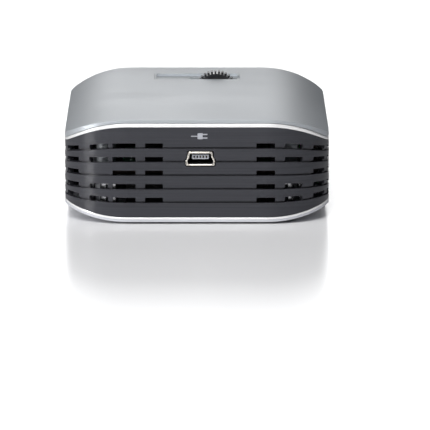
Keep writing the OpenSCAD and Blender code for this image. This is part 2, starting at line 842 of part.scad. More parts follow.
// One LED on its square board: the board's front is the plane y = 0 and it shines along -Y
module led() {
    box(-led_half, led_half, 0, led_board_t, -led_half, led_half);
    along_y(0, -0.7, 0) cylinder(r = 2.3, h = 0.8);
    intersection() {
        translate([0, -0.5, 0]) sphere(r = 1.5, $fn = 48);
        box(-3, 3, -3, -0.6, -3, 3);
    }
}

module red_led() {
    color([0.80, 0.25, 0.20]) translate([red_x, engine_front, lens_z]) led();
}

module blue_led() {
    color([0.20, 0.30, 0.80]) translate([blue_x, engine_front, lens_z]) led();
}

module green_led() {
    color([0.20, 0.65, 0.30]) translate([engine_right, beam_y, lens_z]) rotate(-90) led();
}

// ---- Cooling ----

module side_heat_block() {
    y0 = engine_front + led_board_t;
    color([0.80, 0.81, 0.82]) difference() {
        box(red_x - 4.4, blue_x + 4.4, y0, y0 + 2.7, lens_z - led_half, lens_z + 3);
        for (i = [0 : 5]) box(red_x - 3 + 2.4 * i, red_x - 2 + 2.4 * i, y0 + 1.2, y0 + 4,
            lens_z - 5, lens_z + 4);
    }
}

module green_heat_block() {
    x0 = engine_right + led_board_t;
    low = min(pipe_z - pipe_r - 0.8, lens_z - led_half);
    color([0.80, 0.81, 0.82]) difference() {
        box(x0, x0 + 3.6, beam_y - 4.6, beam_y + 4.6, low, lens_z + led_half);
        along_y(pipe_x, beam_y - 6, pipe_z) cylinder(r = pipe_r, h = 12);
    }
}

module side_heat_pipe() {
    start = rear + 13.6;
    color([0.72, 0.42, 0.28]) along_y(pipe_x, start, pipe_z)
        cylinder(r = pipe_r, h = beam_y + 5.6 - start);
}

module cross_heat_pipe() {
    half = wall_in - 7.2;
    color([0.72, 0.42, 0.28]) along_x(-half, cross_y, pipe_z) cylinder(r = pipe_r, h = 2 * half);
}

// Finned block in a rear corner: a base plate on top and fins hanging under it
module heatsink(hand) {
    outer = side - sink_in;
    inner = outer - sink_reach;
    back = rear + sink_in + 0.2;
    deep = 17;
    color([0.82, 0.83, 0.85]) intersection() {
        prism_of(sink_in);
        union() {
            box(hand > 0 ? inner : -outer, hand > 0 ? outer : -inner, back, back + deep,
                sink_top - 1.6, sink_top);
            for (i = [0 : sink_fins - 1])
                translate([hand * (outer - fin_inset - fin_t / 2 - fin_pitch * i), 0, 0])
                    box(-fin_t / 2, fin_t / 2, back, back + deep, sink_low, sink_top - 1);
        }
    }
}

module left_heatsink() { heatsink(-1); }

module right_heatsink() { heatsink(1); }

module at_fan() {
    translate([0, fan_y, board_top]) children();
}

module fan_housing() {
    half = fan_size / 2;
    color([0.12, 0.12, 0.13]) at_fan() difference() {
        union() {
            difference() {
                box(-half, half, -half, half, 0, fan_h - 0.8);
                translate([0, 0, 1]) cylinder(r = half - 1.2, h = fan_h);
                box(-half * 0.3, half - 1.2, -half - 1, 0, 1, fan_h);
            }
            cylinder(r = 1.7, h = 3);
        }
        translate([0, 0, 0.4]) cylinder(r = 0.75 + run, h = 4);
    }
}

module fan_rotor() {
    tip = fan_size / 2 - 2;
    top = fan_h - 1.3;
    color([0.18, 0.18, 0.20]) at_fan() union() {
        difference() {
            union() {
                translate([0, 0, 1.4]) cylinder(r = tip, h = 0.5);
                translate([0, 0, 1.4]) cylinder(r = fan_size / 5, h = top - 1.4);
                for (i = [0 : 10]) rotate(360 * i / 11) translate([fan_size / 5 - 0.6, 0, 1.6])
                    rotate(18) cube([tip - fan_size / 5 + 0.2, 0.6, top - 1.8]);
            }
            translate([0, 0, 1]) cylinder(r = 2.1, h = 2.3);
        }
        translate([0, 0, 0.5]) cylinder(r = 0.75, h = 3.5);
    }
}

module fan_cover() {
    half = fan_size / 2;
    color([0.14, 0.14, 0.15]) at_fan() difference() {
        box(-half, half, -half, half, fan_h - 0.8, fan_h);
        translate([0, 0, fan_h - 2]) cylinder(r = half * 0.58, h = 3);
        for (s = [-1, 1]) translate([s * (half - 2), s * (half - 2), fan_h - 2])
            cylinder(r = 0.8, h = 3);
    }
}

// ---- Electronics ----

module main_board() {
    color([0.08, 0.32, 0.18]) difference() {
        box(-board_half, board_half, board_rear, board_front, board_low, board_top);
        for (p = post_spots) translate([p[0], p[1], board_low - 1]) cylinder(r = 0.9, h = 4);
    }
}

// [x, y, length along x, length along y, height]; y is counted from the board's rear end
chip_list = [[-12, 6, 7, 7, 1.2], [12.5, 5, 5, 5, 3.5], [12.5, 11, 5, 4, 3], [-11, 13.5, 4, 4, 2.6],
    [-4, 13.2, 3, 3, 1.6], [5, 13.2, 6, 3, 1]];
front_chips = [[-6, 9, 10, 10, 1.3], [6.5, 8.5, 8, 9, 1], [13.6, 9.5, 3.2, 7, 1]];

module board_chips() {
    color([0.10, 0.10, 0.11]) {
        for (c = chip_list) translate([c[0], board_rear + c[1], board_top + c[4] / 2])
            cube([c[2], c[3], c[4]], center = true);
        for (c = front_chips) translate([c[0], board_front - c[1], board_top + c[4] / 2])
            cube([c[2], c[3], c[4]], center = true);
    }
}

module board_screws() {
    color([0.55, 0.56, 0.58]) for (p = post_spots) translate([p[0], p[1], 0]) {
        translate([0, 0, tray_roof + 1.2]) cylinder(r = 0.75, h = board_top - tray_roof - 1.1);
        translate([0, 0, board_top]) cylinder(r = 1.6, h = 0.8);
    }
}

module battery_tray() {
    in_half = tray_half - tray_wall;
    color([0.17, 0.17, 0.18]) difference() {
        union() {
            box(-tray_half, tray_half, tray_rear, tray_front, base_in + 0.05, tray_roof + 1);
            box(-tray_half, tray_half, tray_rear - door_travel - 0.3, tray_rear + cut,
                base_in + 0.05, base_in + 1);
            for (p = post_spots) translate([p[0], p[1], tray_roof])
                cylinder(r = 2, h = board_low - tray_roof);
        }
        box(-in_half, in_half, tray_rear + tray_wall, tray_front - tray_wall, -1, tray_roof);
        box(-tray_half - 1, tray_half + 1, tray_rear + 10, tray_rear + 20, tray_roof - 4,
            tray_roof - 2);
        for (p = post_spots) translate([p[0], p[1], tray_roof + 1.2])
            cylinder(r = 0.75, h = 5);
    }
}

module battery_pack() {
    half = battery_w / 2;
    y0 = bay_rear + tray_gap;
    e = 1.2;
    color([0.16, 0.17, 0.22]) union() {
        box(e - half, half - e, y0, y0 + battery_l, battery_z, battery_z + battery_t);
        box(-half, half, y0 + e, y0 + battery_l - e, battery_z, battery_z + battery_t);
    }
}

module battery_contacts() {
    y1 = tray_front - tray_wall;
    color([0.85, 0.70, 0.35]) for (x = [-6, 0, 6])
        box(x - 1, x + 1, y1 - tray_gap, y1, battery_z + 2, battery_z + 5);
}

module usb_shell() {
    color([0.86, 0.84, 0.78]) difference() {
        usb_bar(0, rear, rear + usb_l);
        usb_bar(-0.4, rear - 1, rear + usb_l - 0.6);
    }
}

module usb_tongue() {
    color([0.62, 0.63, 0.66]) difference() {
        union() {
            box(usb_x - 2.2, usb_x + 2.2, rear + 0.9, rear + usb_l - 1, usb_z - 0.2, usb_z + 1);
            box(usb_x - 2.5, usb_x + 2.5, rear + usb_l - 2, rear + usb_l - 0.6, usb_z - 1.2,
                usb_z + 1.2);
        }
        for (i = [-2 : 2]) box(usb_x + 0.8 * i - 0.22, usb_x + 0.8 * i + 0.22, rear,
            rear + 5.5, usb_z + 0.1, usb_z + 0.75);
    }
}

module usb_contacts() {
    color([0.80, 0.68, 0.36]) for (i = [-2 : 2])
        box(usb_x + 0.8 * i - 0.2, usb_x + 0.8 * i + 0.2, rear + 1.6, rear + 5.5, usb_z + 0.1,
            usb_z + 0.35);
}

module speaker() {
    x = 24.5;
    color([0.14, 0.14, 0.15]) difference() {
        box(x - 4, x + 4, -27, -7, base_in + 2, base_in + 6.5);
        for (i = [0 : 4]) box(x - 2.6, x + 2.6, -24 + 3 * i, -22.6 + 3 * i, base_in + 5.9,
            base_in + 8);
    }
}

// ---- Side switch and jack ----

module side_board() {
    color([0.08, 0.32, 0.18]) box(3.4 - side, 14.4 - side, switch_y - 9, jack_y + 11,
        port_board_z - 1.2, port_board_z);
}

module switch_body() {
    color([0.70, 0.70, 0.72]) difference() {
        box(3.4 - side, 8 - side, switch_y - 5.5, switch_y + 5.5, port_board_z, port_z + 2.2);
        box(3 - side, 5.6 - side, switch_y - 3.4, switch_y + 3.4, port_z - 1, port_z + 1);
    }
}

// The knob lies in the recess at its off end and slides towards the lens
module switch_knob() {
    y0 = switch_y - knob_travel / 2;
    color([0.75, 0.76, 0.78]) difference() {
        union() {
            box(0.1 - side, 0.8 - side, y0 - knob_l / 2, y0 + knob_l / 2, port_z - 1.7,
                port_z + 1.7);
            box(0.5 - side, 5.2 - side, y0 - 1.4, y0 + 1.4, port_z - 0.8, port_z + 0.8);
        }
        for (i = [-2 : 2]) box(-side - 1, 0.35 - side, y0 + 1.1 * i - 0.2, y0 + 1.1 * i + 0.2,
            port_z - 1.2, port_z + 1.2);
    }
}

module av_jack() {
    color([0.12, 0.12, 0.13]) difference() {
        union() {
            along_x(-side, jack_y, port_z) cylinder(r = jack_nose, h = 3.3);
            box(3 - side, 14 - side, jack_y - 3.4, jack_y + 3.4, port_board_z, port_z + 3.2);
        }
        along_x(-side - 1, jack_y, port_z) cylinder(r = jack_r, h = 13.5);
    }
}

top_cover();
top_trim();
vent_band();
bottom_trim();
bottom_cover();
battery_door();
rubber_feet();
case_screws();
tripod_nut();
focus_bezel();
focus_wheel();
focus_axle();
axle_clip();
lens_mount();
lens_ring();
ring_retainer();
lens_cell();
cam_pin();
front_lens();
middle_lens();
rear_lens();
lens_bezel();
lens_screws();
engine_chassis();
engine_lid();
engine_screws();
prism();
imaging_chip();
chip_board();
chip_ribbon();
light_integrator();
relay_lens();
dichroic_plates();
collimator_lenses();
red_led();
green_led();
blue_led();
side_heat_block();
green_heat_block();
side_heat_pipe();
cross_heat_pipe();
left_heatsink();
right_heatsink();
fan_housing();
fan_rotor();
fan_cover();
main_board();
board_chips();
board_screws();
battery_tray();
battery_pack();
battery_contacts();
usb_shell();
usb_tongue();
usb_contacts();
speaker();
side_board();
switch_body();
switch_knob();
av_jack();
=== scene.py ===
# %% [markdown]
# A pocket projector in Blender
# The projector is a small battery machine: a silver lid, a dark louvred band,
# two bright lines and a lens at the far end. Its working parts already exist
# as an exact frame with real joints. This lesson loads that frame and dresses
# it: finer detail where a hand or an eye goes, and a true finish for every
# surface. Sizes are in millimetres, and MM turns them into Blender's metres.

# %% Load the frame
import json
import math
import bmesh
import bpy
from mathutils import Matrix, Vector

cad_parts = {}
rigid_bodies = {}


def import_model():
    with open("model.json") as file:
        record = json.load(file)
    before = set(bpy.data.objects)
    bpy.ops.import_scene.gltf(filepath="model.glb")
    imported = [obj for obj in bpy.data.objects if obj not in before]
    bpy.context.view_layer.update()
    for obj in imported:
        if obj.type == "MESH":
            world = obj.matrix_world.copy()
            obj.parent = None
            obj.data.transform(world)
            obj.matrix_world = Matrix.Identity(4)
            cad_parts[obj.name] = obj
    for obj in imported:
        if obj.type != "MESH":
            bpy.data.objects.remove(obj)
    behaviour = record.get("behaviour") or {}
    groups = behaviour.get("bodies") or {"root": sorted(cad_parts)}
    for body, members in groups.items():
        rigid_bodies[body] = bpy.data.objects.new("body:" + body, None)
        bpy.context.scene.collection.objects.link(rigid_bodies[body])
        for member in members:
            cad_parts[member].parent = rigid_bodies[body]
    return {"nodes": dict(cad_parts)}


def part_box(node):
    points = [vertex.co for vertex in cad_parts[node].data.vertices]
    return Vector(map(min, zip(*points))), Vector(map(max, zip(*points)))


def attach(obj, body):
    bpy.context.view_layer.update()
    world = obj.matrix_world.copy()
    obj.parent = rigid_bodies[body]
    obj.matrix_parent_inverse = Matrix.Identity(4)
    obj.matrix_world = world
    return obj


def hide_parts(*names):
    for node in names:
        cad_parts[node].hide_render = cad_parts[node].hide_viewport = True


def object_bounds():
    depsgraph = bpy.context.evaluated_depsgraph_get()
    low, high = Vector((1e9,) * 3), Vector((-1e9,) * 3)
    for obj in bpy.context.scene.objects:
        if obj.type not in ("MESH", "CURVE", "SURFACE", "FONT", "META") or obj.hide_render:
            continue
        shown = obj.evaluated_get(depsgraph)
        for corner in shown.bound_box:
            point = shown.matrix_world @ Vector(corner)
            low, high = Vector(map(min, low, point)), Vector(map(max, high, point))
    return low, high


for leftover in list(bpy.data.objects):
    bpy.data.objects.remove(leftover)
MM = 0.001
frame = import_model()
cad_low, cad_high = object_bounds()
print("frame of", len(frame["nodes"]), "parts, box in mm",
      [round(x / MM, 2) for x in (*cad_low, *cad_high)])

# %% [markdown]
# The studio comes first, because every finish is judged in its light. The
# camera stands far back with a long lens, so upright edges stay upright, and
# it looks slightly down on the socket end. Its places here are in metres.

# %% Camera
CAMERA_SIDE = 0.0001
CAMERA_BACK = 1.835
CAMERA_HIGH = 0.2488
CAMERA_DIP = math.radians(7.903)
CAMERA_TURN = math.radians(-0.15)
LENS_LENGTH = 570
SENSOR_WIDTH = 36
NEAREST = 0.05
FARTHEST = 60
bpy.ops.object.camera_add(location=(CAMERA_SIDE, -CAMERA_BACK, CAMERA_HIGH),
                          rotation=(math.pi / 2 - CAMERA_DIP, 0, CAMERA_TURN))
camera = bpy.context.object
camera.name = "studio_camera"
camera.data.lens = LENS_LENGTH
camera.data.sensor_width = SENSOR_WIDTH
camera.data.clip_start = NEAREST
camera.data.clip_end = FARTHEST
bpy.context.scene.camera = camera
bpy.context.scene.view_settings.view_transform = "Standard"
print("camera", tuple(round(x, 3) for x in camera.location))

# %% [markdown]
# The floor is one white glossy sheet. A shallow view makes such a sheet
# mirror what stands on it, and a little roughness lets the mirror image
# fade the higher the reflected part is.

# %% Floor
FLOOR_SIZE = 30
FLOOR_ROUGHNESS = 0.26
bpy.ops.mesh.primitive_plane_add(size=FLOOR_SIZE, location=(0, 0, 0))
floor = bpy.context.object
floor.name = "studio_floor"
floor_paint = bpy.data.materials.new("white_acrylic_floor")
floor_paint.use_nodes = True
floor_shader = floor_paint.node_tree.nodes["Principled BSDF"]
floor_shader.inputs["Base Color"].default_value = (0.93, 0.93, 0.94, 1)
floor_shader.inputs["Roughness"].default_value = FLOOR_ROUGHNESS
floor.data.materials.append(floor_paint)
print("floor", floor.name, "with roughness", FLOOR_ROUGHNESS)


# %% [markdown]
# A wide lamp gives soft shadows and long smooth reflections. Each lamp here
# is a softbox: a rectangle of light aimed at the product, with places and
# sizes in metres and its power in watts. The card behind lights the lid,
# which leans away from the lamps in front.

# %% Lamps
def softbox(name, place, aim, width, height, power):
    """Adds a rectangular lamp at place, turned to face aim."""
    bpy.ops.object.light_add(type="AREA", location=place)
    lamp = bpy.context.object
    lamp.name = name
    lamp.data.shape = "RECTANGLE"
    lamp.data.size = width
    lamp.data.size_y = height
    lamp.data.energy = power
    lamp.visible_camera = False
    lamp.rotation_mode = "QUATERNION"
    lamp.rotation_quaternion = (Vector(aim) - Vector(place)).to_track_quat("-Z", "Y")
    print("lamp", name, power, "W")


product_middle = (0, 0, 0.015)
softbox("back_card", (-0.05, 3.0, 0.42), (0, 0, 0.1), 0.56, 0.9, 4.6)
softbox("top_box", (-0.03, -0.34, 0.5), (0, -0.28, 0), 0.34, 0.3, 2.4)
softbox("front_box", (-0.5, -1.9, 1.2), product_middle, 0.9, 0.6, 19)
softbox("left_strip", (-1.0, -0.31, 0.2), product_middle, 0.1, 0.5, 5.5)

# %% [markdown]
# The room behind the lamps is plain white to the eye, but it gives only a
# little light, so the dark plastic keeps its depth.

# %% Room
SEEN_STRENGTH = 1.0
FILL_STRENGTH = 0.05
world = bpy.data.worlds.new("studio_world")
world.use_nodes = True
bpy.context.scene.world = world
tree = world.node_tree
tree.nodes.clear()
seen = tree.nodes.new("ShaderNodeBackground")
seen.inputs["Color"].default_value = (1, 1, 1, 1)
seen.inputs["Strength"].default_value = SEEN_STRENGTH
fill = tree.nodes.new("ShaderNodeBackground")
fill.inputs["Color"].default_value = (0.9, 0.93, 1, 1)
fill.inputs["Strength"].default_value = FILL_STRENGTH
ray = tree.nodes.new("ShaderNodeLightPath")
chooser = tree.nodes.new("ShaderNodeMixShader")
room = tree.nodes.new("ShaderNodeOutputWorld")
tree.links.new(ray.outputs["Is Camera Ray"], chooser.inputs["Fac"])
tree.links.new(fill.outputs[0], chooser.inputs[1])
tree.links.new(seen.outputs[0], chooser.inputs[2])
tree.links.new(chooser.outputs[0], room.inputs[0])
print("room", world.name, "fill", FILL_STRENGTH)


# %% [markdown]
# Real surfaces are never one flat colour. Two small effects are shared by
# all the finishes. The first is the fine grain of moulded or sprayed skin
# with broad, faint patches over it. The second is a set of long fine lines,
# as left by brushing metal or by the louvre tool.

# %% Effect helpers
def new_effect(name, inputs, outputs):
    """Starts a node group with number inputs and outputs, and its two end nodes."""
    group = bpy.data.node_groups.new(name, "ShaderNodeTree")
    for label, start in inputs:
        socket = group.interface.new_socket(name=label, in_out="INPUT",
                                            socket_type="NodeSocketFloat")
        socket.default_value = start
    for label in outputs:
        group.interface.new_socket(name=label, in_out="OUTPUT",
                                   socket_type="NodeSocketFloat")
    return group, group.nodes.new("NodeGroupInput"), group.nodes.new("NodeGroupOutput")


def add(nodes, kind, **settings):
    """Adds a node and fills in its settings and input values."""
    node = nodes.new(kind)
    for key, value in settings.items():
        if hasattr(node, key):
            setattr(node, key, value)
        else:
            node.inputs[key.replace("_", " ")].default_value = value
    return node


# %% Surface grain
grain, grain_in, grain_out = new_effect(
    "surface_grain", [("Grain Scale", 900), ("Patch Scale", 40)], ["Height", "Patches"])
place = add(grain.nodes, "ShaderNodeTexCoord")
fine = add(grain.nodes, "ShaderNodeTexNoise", Detail=2.0, Roughness=0.6)
broad = add(grain.nodes, "ShaderNodeTexNoise", Detail=3.0, Roughness=0.55)
spread = add(grain.nodes, "ShaderNodeMapRange", From_Min=0.3, From_Max=0.7)
for noise, label in ((fine, "Grain Scale"), (broad, "Patch Scale")):
    grain.links.new(place.outputs["Object"], noise.inputs["Vector"])
    grain.links.new(grain_in.outputs[label], noise.inputs["Scale"])
grain.links.new(fine.outputs["Fac"], grain_out.inputs["Height"])
grain.links.new(broad.outputs["Fac"], spread.inputs["Value"])
grain.links.new(spread.outputs["Result"], grain_out.inputs["Patches"])
print("effect", grain.name)

# %% Fine lines
lines, lines_in, lines_out = new_effect(
    "fine_lines", [("Along", 25), ("Across", 3000)], ["Height", "Tone"])
place = add(lines.nodes, "ShaderNodeTexCoord")
split = add(lines.nodes, "ShaderNodeSeparateXYZ")
join = add(lines.nodes, "ShaderNodeCombineXYZ")
lines.links.new(place.outputs["Object"], split.inputs[0])
for axis, label in (("X", "Along"), ("Y", "Along"), ("Z", "Across")):
    scale = add(lines.nodes, "ShaderNodeMath", operation="MULTIPLY")
    lines.links.new(split.outputs[axis], scale.inputs[0])
    lines.links.new(lines_in.outputs[label], scale.inputs[1])
    lines.links.new(scale.outputs[0], join.inputs[axis])
streak = add(lines.nodes, "ShaderNodeTexNoise", Scale=1.0, Detail=2.0, Roughness=0.5)
lines.links.new(join.outputs[0], streak.inputs["Vector"])
tone = add(lines.nodes, "ShaderNodeMapRange", From_Min=0.35, From_Max=0.65)
lines.links.new(streak.outputs["Fac"], lines_out.inputs["Height"])
lines.links.new(streak.outputs["Fac"], tone.inputs["Value"])
lines.links.new(tone.outputs["Result"], lines_out.inputs["Tone"])
print("effect", lines.name)


# %% [markdown]
# One maker builds every finish from the same few choices: a colour, how
# metallic and how rough it is, and how coarse its grain is. The tone and
# the roughness wander a little over the surface, as handled parts do.

# %% Finish maker
FINISHES = {}
COAT_ROUGHNESS = 0.08
PATCH_SCALE = 25


def finish(slot, name, colour, metal=0.0, rough=0.5, grain_size=0.35, depth=0.01,
           rough_play=0.06, tone_play=0.10, streaks=None, coat=0.0, glass=0.0, ior=1.5,
           specular=0.5):
    """Makes one procedural finish for a slot. grain_size and depth are in millimetres."""
    paint = bpy.data.materials.new(name)
    paint.use_nodes = True
    nodes, links = paint.node_tree.nodes, paint.node_tree.links
    shader = nodes["Principled BSDF"]
    shader.inputs["Metallic"].default_value = metal
    shader.inputs["IOR"].default_value = ior
    shader.inputs["Specular IOR Level"].default_value = specular
    shader.inputs["Transmission Weight"].default_value = glass
    shader.inputs["Coat Weight"].default_value = coat
    shader.inputs["Coat Roughness"].default_value = COAT_ROUGHNESS
    effect = add(nodes, "ShaderNodeGroup", node_tree=grain)
    effect.inputs["Grain Scale"].default_value = 1 / (grain_size * MM)
    effect.inputs["Patch Scale"].default_value = PATCH_SCALE
    height, mask = effect.outputs["Height"], effect.outputs["Patches"]
    if streaks:
        brushed = add(nodes, "ShaderNodeGroup", node_tree=lines)
        brushed.inputs["Along"].default_value = streaks[0]
        brushed.inputs["Across"].default_value = streaks[1]
        height, mask = brushed.outputs["Height"], brushed.outputs["Tone"]
    dim = tuple(c * (1 - tone_play) for c in colour)
    tint = add(nodes, "ShaderNodeMix", data_type="RGBA")
    tint.inputs["A"].default_value = (*dim, 1)
    tint.inputs["B"].default_value = (*colour, 1)
    links.new(mask, tint.inputs["Factor"])
    links.new(tint.outputs["Result"], shader.inputs["Base Color"])
    gloss = add(nodes, "ShaderNodeMapRange", To_Min=rough - rough_play,
                To_Max=rough + rough_play)
    links.new(effect.outputs["Patches"], gloss.inputs["Value"])
    links.new(gloss.outputs["Result"], shader.inputs["Roughness"])
    bump = add(nodes, "ShaderNodeBump", Strength=1.0, Distance=depth * MM)
    links.new(height, bump.inputs["Height"])
    links.new(bump.outputs["Normal"], shader.inputs["Normal"])
    FINISHES[slot] = paint


# %% [markdown]
# The outside finishes. The lid is plastic under a satin silver lacquer, so
# it is nearly metallic with a very fine grain. The two lines are plated
# metal, but their finish is only partly metallic over a pure white base,
# and that white is a painted highlight that keeps them bright all round.
# The band is charcoal plastic with faint lines along it. The base and its
# battery door are silver plastic, although the frame's names for their
# slots say dark. A slot's name is a label and sets no colour.

# %% Finishes of the case
finish("cover_silver", "satin_silver_lacquer", (0.52, 0.55, 0.58), metal=0.6, rough=0.44,
       grain_size=0.12, depth=0.004, tone_play=0.04, rough_play=0.03)
# The plated lines: a pure white base under a partly metallic finish, a painted highlight.
finish("trim_bright", "plated_line_painted_highlight", (1.0, 1.0, 1.0), metal=0.3, rough=0.24,
       depth=0.001, rough_play=0.04, tone_play=0.03, specular=0.8)
finish("band_dark", "charcoal_band_plastic", (0.046, 0.047, 0.055), rough=0.34, specular=0.25,
       streaks=(18, 2600), depth=0.006, rough_play=0.04, tone_play=0.2)
finish("base_dark", "silver_base_plastic", (0.56, 0.57, 0.61), rough=0.48,
       grain_size=0.25, depth=0.02)
finish("door_dark", "silver_door_plastic", (0.52, 0.53, 0.57), rough=0.44,
       grain_size=0.25, depth=0.02)
finish("foot_rubber", "foot_rubber_grey", (0.02, 0.02, 0.021), rough=0.85,
       grain_size=0.3, depth=0.03)
finish("bezel_grey", "silver_bezel_lacquer", (0.52, 0.55, 0.58), metal=0.6, rough=0.44,
       grain_size=0.12, depth=0.003, tone_play=0.04, rough_play=0.03)
finish("wheel_black", "ribbed_wheel_plastic", (0.012, 0.012, 0.014), rough=0.3, depth=0.01)
finish("knob_grey", "ribbed_knob_plastic", (0.25, 0.26, 0.28), rough=0.42, depth=0.008)
finish("hood_black", "satin_hood_black", (0.02, 0.02, 0.022), rough=0.38, depth=0.006)
print(len(FINISHES), "case finishes")

# %% [markdown]
# Metals. A metal's colour is in its reflection, so these are fully metallic
# and differ in tint and roughness: steel, brass, nickel, gold and alloy.

# %% Finishes of the metal parts
finish("screw_steel", "blackened_screw_steel", (0.18, 0.18, 0.19), metal=1.0, rough=0.35,
       depth=0.004)
finish("insert_brass", "turned_brass", (0.80, 0.56, 0.25), metal=1.0, rough=0.28, depth=0.003)
finish("pin_steel", "ground_pin_steel", (0.62, 0.62, 0.64), metal=1.0, rough=0.22, depth=0.001)
finish("clip_steel", "sprung_clip_steel", (0.42, 0.42, 0.45), metal=1.0, rough=0.32,
       depth=0.002)
finish("engine_alloy", "cast_engine_alloy", (0.40, 0.41, 0.42), metal=1.0, rough=0.52,
       grain_size=0.5, depth=0.02)
finish("heat_alloy", "milled_heat_alloy", (0.80, 0.81, 0.83), metal=1.0, rough=0.24,
       streaks=(60, 1800), depth=0.004)
# The heat pipes are copper coloured nearly black: painted shade for the dark inside of the vent
# slots.
finish("pipe_copper", "copper_painted_shade_black", (0.05, 0.035, 0.03), metal=0.6, rough=0.5,
       depth=0.003)
finish("contact_gold", "plated_contact_gold", (0.93, 0.70, 0.33), metal=1.0, rough=0.2,
       depth=0.001)
finish("socket_shell", "pale_nickel_shell", (0.90, 0.85, 0.78), metal=0.85, rough=0.28,
       depth=0.002, rough_play=0.03, tone_play=0.04)
finish("switch_metal", "folded_switch_steel", (0.5, 0.5, 0.52), metal=1.0, rough=0.3,
       depth=0.002)
print(len(FINISHES), "finishes so far")

# %% [markdown]
# Plastics, glass, boards and lamps inside. Few of them show, but a reader
# who lifts the lid should find each one in its own material.

# %% Finishes of the inner parts
finish("barrel_black", "matt_barrel_black", (0.014, 0.014, 0.015), rough=0.62, depth=0.01)
finish("optic_glass", "coated_optic_glass", (0.96, 0.98, 1.0), rough=0.03, depth=0.0,
       rough_play=0.01, tone_play=0.02, coat=0.6, glass=1.0, ior=1.52)
finish("filter_glass", "filter_plate_glass", (0.85, 0.65, 0.95), rough=0.04, depth=0.0,
       rough_play=0.01, tone_play=0.05, coat=0.5, glass=1.0, ior=1.45)
finish("chip_grey", "ceramic_chip_grey", (0.22, 0.22, 0.24), rough=0.35, depth=0.003)
finish("board_green", "lacquered_board_green", (0.012, 0.11, 0.045), rough=0.32,
       grain_size=0.6, depth=0.01, coat=0.4)
finish("ribbon_amber", "amber_ribbon_film", (0.55, 0.24, 0.04), rough=0.3, depth=0.002)
finish("led_red", "red_lamp_dome", (0.8, 0.05, 0.03), rough=0.2, depth=0.002)
finish("led_green", "green_lamp_dome", (0.05, 0.7, 0.1), rough=0.2, depth=0.002)
finish("led_blue", "blue_lamp_dome", (0.05, 0.12, 0.85), rough=0.2, depth=0.002)
finish("fan_black", "moulded_fan_black", (0.02, 0.02, 0.022), rough=0.5, depth=0.01)
finish("part_black", "moulded_part_black", (0.012, 0.012, 0.013), rough=0.5, depth=0.01)
finish("tray_black", "moulded_tray_black", (0.022, 0.022, 0.024), rough=0.55,
       grain_size=0.4, depth=0.02)
finish("battery_wrap", "battery_shrink_film", (0.03, 0.09, 0.22), rough=0.28, depth=0.01,
       coat=0.3)
finish("tongue_grey", "socket_tongue_plastic", (0.42, 0.43, 0.47), rough=0.4, depth=0.003)
for node in frame["nodes"].values():
    slot = node.material_slots[0].material.name.split(".")[0]
    node.material_slots[0].material = FINISHES[slot]
print(len(FINISHES), "finishes on", len(frame["nodes"]), "parts")


# %% [markdown]
# New pieces are modelled as by hand: a primitive goes in at its size and
# place, and edit mode shapes it. The first helpers do what the hand does
# between two operators, which is to pick faces or edges by their place.

# %% Picking helpers
WELD = 1e-7
NEAR = 0.01
FACING = 0.9
SHARP = math.radians(45)
PICK_MODES = {"faces": "FACE", "edges": "EDGE", "verts": "VERT"}


def open_edit(piece):
    """Makes one piece active in edit mode with nothing selected."""
    bpy.ops.object.select_all(action="DESELECT")
    bpy.context.view_layer.objects.active = piece
    piece.select_set(True)
    bpy.ops.object.mode_set(mode="EDIT")
    bpy.ops.mesh.select_mode(type="FACE")
    bpy.ops.mesh.select_all(action="DESELECT")


def pick(piece, kind, test):
    """Selects only the faces, edges or verts that pass the test, and counts them."""
    bpy.ops.mesh.select_mode(type=PICK_MODES[kind])
    bpy.ops.mesh.select_all(action="DESELECT")
    mesh = bmesh.from_edit_mesh(piece.data)
    chosen = [item for item in getattr(mesh, kind) if test(item)]
    for item in chosen:
        item.select_set(True)
    mesh.select_flush_mode()
    bmesh.update_edit_mesh(piece.data)
    return len(chosen)


def middle_of(item):
    """The middle of a face or an edge, in millimetres."""
    return sum((v.co for v in item.verts), Vector()) / len(item.verts) / MM


def span(edge, axis):
    """How far an edge reaches along x, y or z, in millimetres."""
    first, second = (v.co["xyz".index(axis)] for v in edge.verts)
    return abs(first - second) / MM


def looks(face, axis, way):
    """True for a face that looks along x, y or z, forwards (1) or backwards (-1)."""
    return face.normal["xyz".index(axis)] * way > FACING


def is_sharp(edge):
    """True where the two faces at an edge meet at a clear angle."""
    return edge.calc_face_angle(0) > SHARP


print("edges count as sharp over", round(math.degrees(SHARP)), "degrees, places as equal within",
      NEAR, "mm")


# %% Shaping helpers
def cut_through(axis, level):
    """Cuts the mesh in edit mode at a level along x, y or z, in millimetres."""
    at, normal = Vector(), Vector()
    at["xyz".index(axis)] = level * MM
    normal["xyz".index(axis)] = 1
    bpy.ops.mesh.select_all(action="SELECT")
    bpy.ops.mesh.bisect(plane_co=at, plane_no=normal, threshold=WELD)


def draw_out(x=0, y=0, z=0):
    """Extrudes the picked faces and moves them by so many millimetres."""
    bpy.ops.mesh.extrude_region_move(TRANSFORM_OT_translate={"value": (x * MM, y * MM, z * MM)})


def round_off(offset, segments):
    """Rounds the picked edges. offset is in millimetres."""
    bpy.ops.mesh.bevel(offset=offset * MM, segments=segments, clamp_overlap=False)


print("points are welded within", WELD / MM, "mm")


# %% Piece helpers
def box_mm(node):
    """A frame part's lowest and highest corner, in millimetres."""
    low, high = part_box(node)
    return low / MM, high / MM


def named(name):
    """Names the active piece and puts its place into its mesh."""
    piece = bpy.context.object
    piece.name = piece.data.name = name
    bpy.ops.object.select_all(action="DESELECT")
    piece.select_set(True)
    bpy.ops.object.transform_apply(location=True, rotation=True, scale=True)
    return piece


def block(name, low, high):
    """A box between two corners, given in millimetres."""
    size = [(b - a) * MM for a, b in zip(low, high)]
    centre = [(a + b) / 2 * MM for a, b in zip(low, high)]
    bpy.ops.object.select_all(action="DESELECT")
    bpy.ops.mesh.primitive_cube_add(size=1, location=centre)
    bpy.context.object.scale = size
    return named(name)


